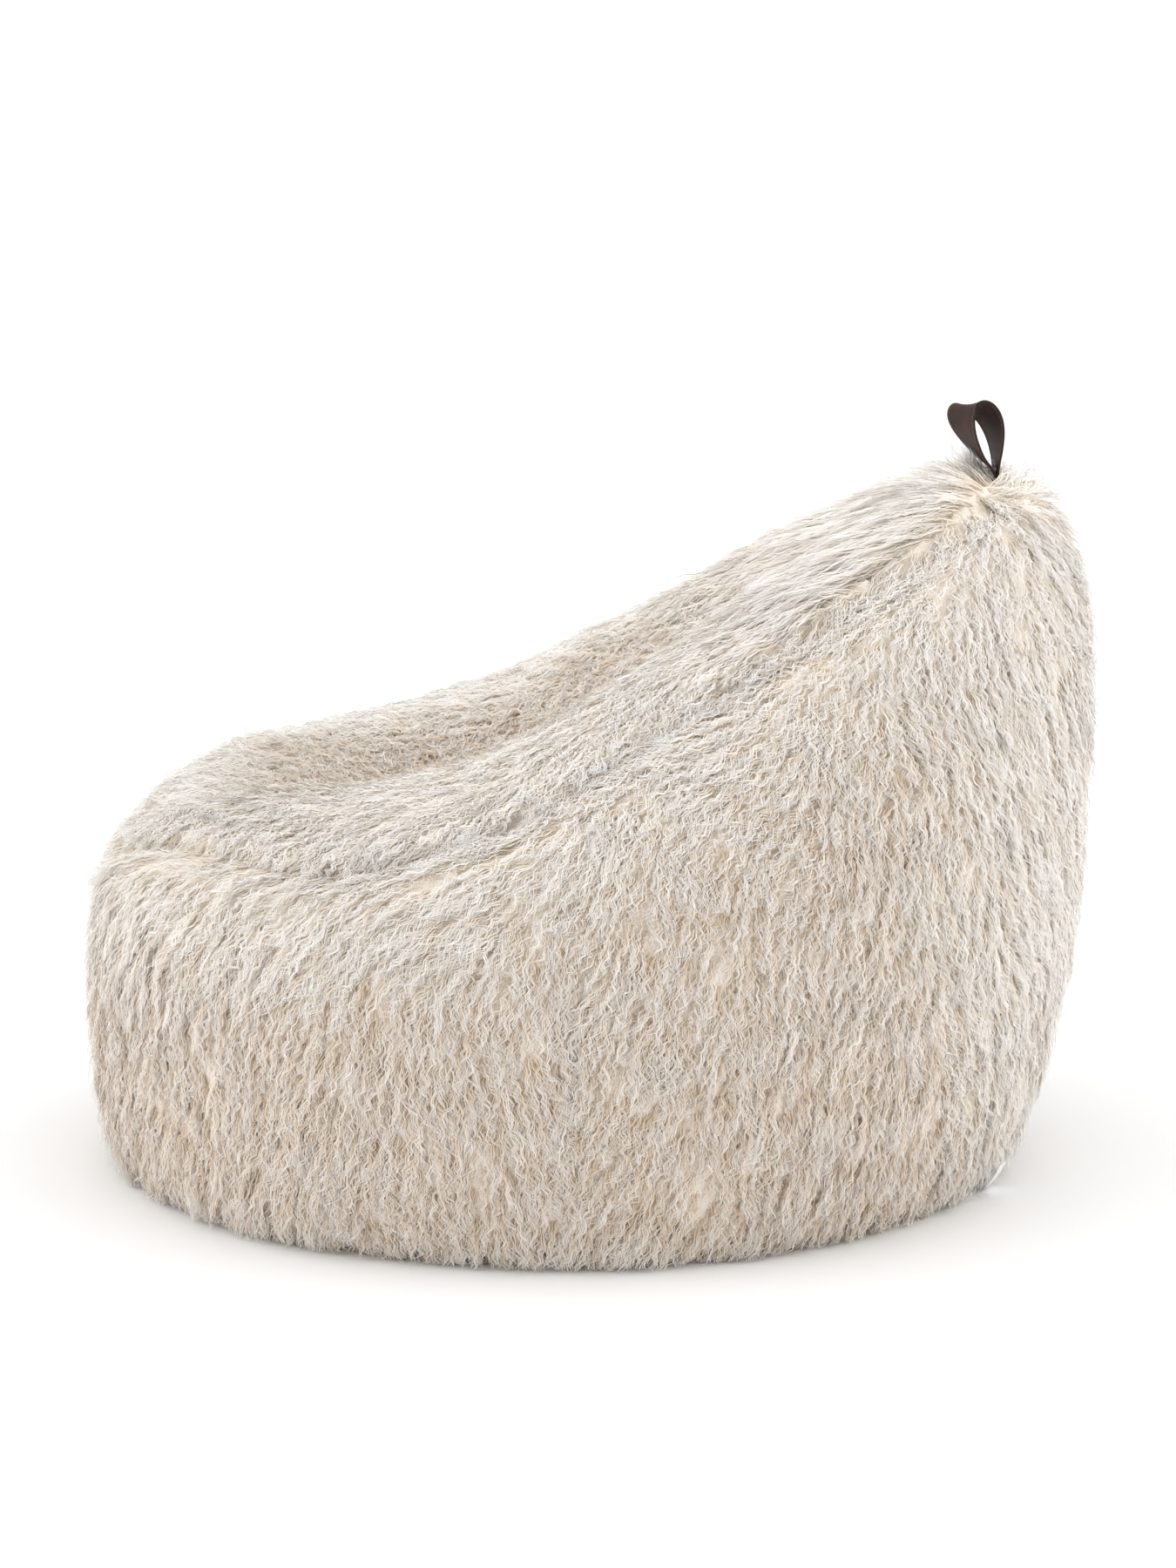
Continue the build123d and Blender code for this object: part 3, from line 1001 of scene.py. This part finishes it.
# %% Woven cloth finish
def woven(name, dark, pale, threads):
    """Plain weave: crossed threads with a soft change of tone."""
    material, tree, bsdf = new_material(name, Roughness=0.85, Sheen_Weight=0.1)
    place = add_node(tree, "TexCoord")
    heights = []
    for direction in ("X", "Y"):
        rows = add_node(tree, "TexWave", bands_direction=direction, Scale=threads, Distortion=0.6)
        tree.links.new(place.outputs["Object"], rows.inputs["Vector"])
        heights.append(rows.outputs["Fac"])
    cross = add_node(tree, "Math", operation="MULTIPLY")
    tree.links.new(heights[0], cross.inputs[0])
    tree.links.new(heights[1], cross.inputs[1])
    clouds = add_node(tree, "TexNoise", Scale=20.0, Detail=5.0)
    tree.links.new(place.outputs["Object"], clouds.inputs["Vector"])
    blend = add_node(tree, "Math", operation="MULTIPLY_ADD")
    tree.links.new(clouds.outputs["Fac"], blend.inputs[0])
    blend.inputs[1].default_value = 0.7
    tree.links.new(cross.outputs[0], blend.inputs[2])
    tree.links.new(ramp(tree, blend.outputs[0], [(0.2, dark), (1.2, pale)]), bsdf.inputs["Base Color"])
    bump(tree, bsdf, cross.outputs[0], 0.0004, 0.5)
    return material


base_weave = woven("base_weave", (0.26, 0.22, 0.17), (0.42, 0.36, 0.29), 320.0)
liner_weave = woven("liner_weave", (0.70, 0.69, 0.66), (0.84, 0.83, 0.80), 420.0)
tape_weave = woven("tape_weave", (0.34, 0.29, 0.23), (0.50, 0.44, 0.36), 500.0)
print("weaves:", ", ".join(weave.name for weave in (base_weave, liner_weave, tape_weave)))

# %% Base cloth
grid_pitch = 0.020
pucker = 0.0025
pucker_place = 0.06  # from the zip to the middle of the puckers
pucker_reach = 0.04
rim_radii = np.array([0.39, 0.41])
zip_half_gap = 0.001


def gridded(node, name):
    """A copy of a solid, cut on an even grid so that it can bend."""
    bm = bmesh.new()
    bm.from_mesh(node.data)
    low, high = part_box(node.name)
    for axis in (0, 1):
        normal = Vector((0, 0, 0))
        normal[axis] = 1
        for i in range(1, int((high[axis] - low[axis]) / grid_pitch) + 1):
            point = Vector((0, 0, 0))
            point[axis] = low[axis] + i * grid_pitch
            everything = bm.verts[:] + bm.edges[:] + bm.faces[:]
            bmesh.ops.bisect_plane(bm, geom=everything, plane_co=point, plane_no=normal)
    mesh = bpy.data.meshes.new(name)
    bm.to_mesh(mesh)
    bm.free()
    piece = bpy.data.objects.new(name, mesh)
    scene.collection.objects.link(piece)
    return piece


def base_cloth(node_name, name):
    """One half of the base, lifted off the floor in shallow puckers near the zip."""
    piece = gridded(nodes[node_name], name)
    points, _ = mesh_arrays(piece.data)
    zip_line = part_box("base_zip_teeth_front")[1][1] + zip_half_gap
    from_zip = np.abs(points[:, 1] - zip_line)
    radius = np.linalg.norm(points[:, :2] / rim_radii, axis=1)
    strength = np.exp(-(((from_zip - pucker_place) / pucker_reach) ** 2))
    strength = strength * (1 - smooth_step(radius, 0.8, 0.95))
    points[:, 2] += pucker * strength * (1 + np.sin(points[:, 0] * 95 + 9 * from_zip)) / 2
    piece.data.vertices.foreach_set("co", points.ravel())
    piece.data.materials.clear()
    piece.data.materials.append(base_weave)
    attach(piece, "bag")
    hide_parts(node_name)


base_cloth("base_panel_front", "base_cloth_front")
base_cloth("base_panel_back", "base_cloth_back")

# %% [markdown]
# ## The inner bag
#
# A thin woven bag holds the beads inside the cover and presses against it all round. Its panels are cut from
# the same skin as the backing, moved in by a few millimetres, so that the two can never cross.

# %% Inner bag cloth
inner_gap = 0.006
liner_names = {"seat_panel": "liner_top", "front_wall_panel": "liner_front_wall"}
liner_names["back_wall_panel"] = "liner_back_wall"

inner_points = skin_points - skin_normals * inner_gap
inner_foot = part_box("liner_base_front")[0][2]
inner_points[:, 2] = np.maximum(inner_points[:, 2], inner_foot)
over_foot = inner_points[skin_faces][:, :, 2].max(axis=1) > inner_foot
for number, panel in enumerate(panel_names):
    name = liner_names[panel]
    faces = skin_faces[(face_panel == number) & over_foot]
    piece = cut_panel(name + "_cloth", inner_points, faces, liner_weave)
    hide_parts(name)
    print(piece.name, len(faces), "faces")

# %% [markdown]
# ## Zips and fill
#
# These solids already have their real shapes, so they keep them and only get finishes: woven tapes, moulded
# teeth, a satin slider, the inner bag's flat base and foam beads with painted shade between them. Noise
# gives each its grain, because a single flat colour would look like plastic.


# %% Moulded and foam finishes
def moulded(name, dark, pale, roughness, metallic):
    """A moulded or cast finish with a little grain."""
    material, tree, bsdf = new_material(name, Metallic=metallic)
    place = add_node(tree, "TexCoord")
    grain = add_node(tree, "TexNoise", Scale=400.0, Detail=4.0)
    tree.links.new(place.outputs["Object"], grain.inputs["Vector"])
    tree.links.new(ramp(tree, grain.outputs["Fac"], [(0.3, dark), (0.7, pale)]), bsdf.inputs["Base Color"])
    shine = add_node(tree, "MapRange", To_Min=roughness - 0.08, To_Max=roughness + 0.08)
    tree.links.new(grain.outputs["Fac"], shine.inputs["Value"])
    tree.links.new(shine.outputs["Result"], bsdf.inputs["Roughness"])
    bump(tree, bsdf, grain.outputs["Fac"], 0.0001, 0.3)
    return material


def foam_beads():
    """Small white foam beads, packed close, with painted shade in the gaps between them."""
    material, tree, bsdf = new_material("foam_beads", Roughness=0.7)
    place = add_node(tree, "TexCoord")
    cells = add_node(tree, "TexVoronoi", Scale=260.0)
    tree.links.new(place.outputs["Object"], cells.inputs["Vector"])
    # Pale bead middles, and painted shade towards the gaps between beads.
    tone = ramp(tree, cells.outputs["Distance"], [(0.2, (0.90, 0.90, 0.89)), (0.8, (0.62, 0.62, 0.61))])
    tree.links.new(tone, bsdf.inputs["Base Color"])
    bump(tree, bsdf, cells.outputs["Distance"], -0.002, 1.0)
    return material


beads = foam_beads()
print("finish:", beads.name)

# %% Dress the solids that stay
finishes = {
    "zip_tape": tape_weave,
    "zip_teeth": moulded("zip_plastic", (0.32, 0.27, 0.21), (0.40, 0.34, 0.27), 0.45, 0.0),
    "zip_metal": moulded("satin_metal", (0.36, 0.32, 0.27), (0.46, 0.42, 0.36), 0.32, 0.9),
    "liner_fabric": liner_weave,
    "strap_leather": leather,
    "beads": beads,
}
slots = {part["node"]: part["material_slot"] for part in frame["record"]["subparts"]}
replaced = {*panel_names, "base_panel_front", "base_panel_back"}
replaced |= {"handle_strap", "handle_stitching", "care_label", *liner_names.values()}
kept = [name for name in nodes if name not in replaced]
for name in kept:
    node = nodes[name]
    node.data.materials.clear()
    node.data.materials.append(finishes[slots[name]])
print(len(kept), "solids keep their shape and get a finish")
